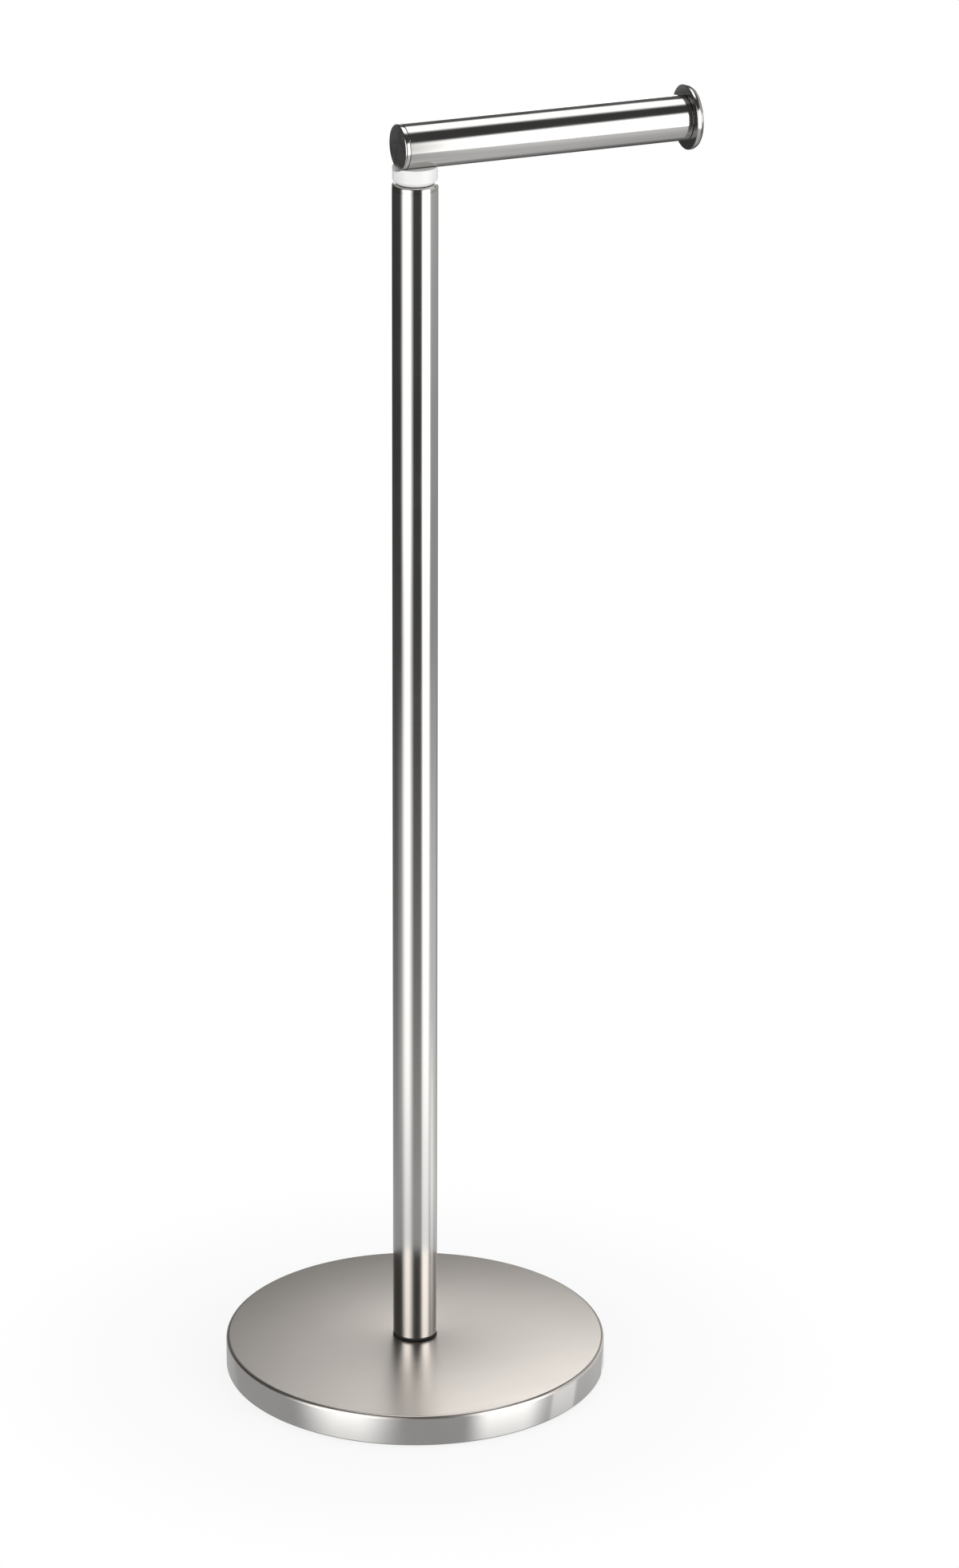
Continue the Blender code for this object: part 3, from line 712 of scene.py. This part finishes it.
def make_world():
    """White to the camera. To metal it is a dark studio with dim walls behind and to the right."""
    world = bpy.data.worlds.new("studio")
    bpy.context.scene.world = world
    graph = Graph(world)
    direction = graph.add("ShaderNodeTexCoord").outputs["Generated"]
    azimuth, rise = azimuth_of(graph, direction)
    behind = graph.between(graph.math("ABSOLUTE", azimuth), 140, 165, 0.0, WALL_BEHIND)
    right_side = graph.math("MULTIPLY", graph.ramps(azimuth, *WALL_RIGHT_SPREAD), WALL_RIGHT)
    walls = graph.math("MULTIPLY", graph.math("ADD", behind, right_side), graph.between(rise, *WALL_TOP))
    reflected = graph.math("ADD", walls, DARK_WALLS)
    path = graph.add("ShaderNodeLightPath").outputs
    shiny = graph.math("ADD", path["Is Glossy Ray"], path["Is Transmission Ray"])
    not_shiny = graph.math("MULTIPLY", graph.math("SUBTRACT", 1.0, shiny), AMBIENT)
    other = graph.math("ADD", graph.math("MULTIPLY", reflected, shiny), not_shiny)
    seen = graph.math("MAXIMUM", path["Is Camera Ray"], other)
    background = graph.add("ShaderNodeBackground", {"Color": (1, 1, 1, 1), "Strength": seen})
    graph.add("ShaderNodeOutputWorld", {"Surface": background.outputs[0]})


def painted_floor_light(graph, distance, azimuth):
    """Painted light that metal sees on the floor, glowing from the floor itself: a pool, a wash standing
    in for the panels' light, and a patch to the right.
    """
    fading = graph.math("EXPONENT", graph.math("DIVIDE", distance, -POOL_REACH))
    near_start, near_end, near_share = POOL_NEAR
    pool = graph.math("MULTIPLY", fading, PAINTED_POOL_GLOW)
    pool = graph.math("MULTIPLY", pool, graph.between(distance, near_start, near_end, near_share, 1.0))
    panels = graph.math("ADD", graph.ramps(azimuth, *WASH_LEFT), graph.ramps(azimuth, *WASH_RIGHT))
    wash_reach = graph.ramps(distance, *WASH_REACH)
    wash = graph.math("MULTIPLY", graph.math("MULTIPLY", panels, wash_reach), PAINTED_WASH_GLOW)
    patch = graph.math("MULTIPLY", graph.ramps(azimuth, *PATCH_SPREAD), PAINTED_PATCH_GLOW)
    patch = graph.math("MULTIPLY", patch, graph.ramps(distance, *PATCH_REACH))
    return graph.math("ADD", pool, graph.math("ADD", wash, patch))


def make_floor():
    """Pale floor: white with a faint shadow to the camera, and to metal a glossy floor that glows with
    painted light.
    """
    bpy.ops.mesh.primitive_circle_add(vertices=96, radius=FLOOR_RADIUS, fill_type="NGON")
    floor = bpy.context.object
    floor.name = "studio_floor"
    material = bpy.data.materials.new("studio_floor_pale")
    graph = Graph(material)
    place = graph.add("ShaderNodeTexCoord").outputs["Object"]
    distance = graph.add("ShaderNodeVectorMath", {0: place}, operation="LENGTH").outputs["Value"]
    azimuth, _ = azimuth_of(graph, place)

    grazing = graph.add("ShaderNodeLayerWeight", {"Blend": 0.5}).outputs["Facing"]
    mirror = graph.math("MULTIPLY", graph.math("POWER", grazing, MIRROR_POWER), MIRROR_GAIN)
    tint = graph.add("ShaderNodeCombineXYZ", {"X": mirror, "Y": mirror, "Z": mirror}).outputs[0]
    gloss = graph.add("ShaderNodeBsdfGlossy", {"Color": tint, "Roughness": FLOOR_ROUGHNESS}).outputs[0]
    # The floor's emission is painted light: only glossy and transmission rays see it, the camera does
    # not.
    glow = graph.add("ShaderNodeEmission", {"Strength": painted_floor_light(graph, distance, azimuth)}).outputs[0]
    reflected = graph.add("ShaderNodeAddShader", {0: glow, 1: gloss}).outputs[0]

    lit = graph.add("ShaderNodeBsdfDiffuse", {"Color": (*[FLOOR_WHITE] * 3, 1)}).outputs[0]
    white = graph.add("ShaderNodeEmission", {"Strength": 1.0}).outputs[0]
    shadow = graph.between(distance, *SHADOW_REACH, 0.0, SHADOW_SHARE)
    shown = graph.add("ShaderNodeMixShader", {0: shadow, 1: white, 2: lit}).outputs[0]
    path = graph.add("ShaderNodeLightPath").outputs
    shiny = graph.math("MAXIMUM", path["Is Glossy Ray"], path["Is Transmission Ray"])
    surface = graph.add("ShaderNodeMixShader", {0: path["Is Camera Ray"], 1: lit, 2: shown}).outputs[0]
    surface = graph.add("ShaderNodeMixShader", {0: shiny, 1: surface, 2: reflected}).outputs[0]
    graph.add("ShaderNodeOutputMaterial", {"Surface": surface})
    floor.data.materials.append(material)


def make_camera():
    data = bpy.data.cameras.new("photo_view")
    data.lens = VIEW_LENS
    data.sensor_width = 36.0
    data.shift_x = VIEW_SHIFT
    camera = bpy.data.objects.new("photo_view", data)
    camera.location = toward(0) * VIEW_DISTANCE + Vector((0, 0, VIEW_HEIGHT))
    camera.rotation_euler = (math.pi / 2 - VIEW_PITCH, 0.0, -VIEW_AZIMUTH)
    bpy.context.scene.collection.objects.link(camera)
    bpy.context.scene.camera = camera


make_camera()
make_holder()
make_lamps()
make_world()
make_floor()
bpy.context.scene.view_settings.view_transform = "Standard"
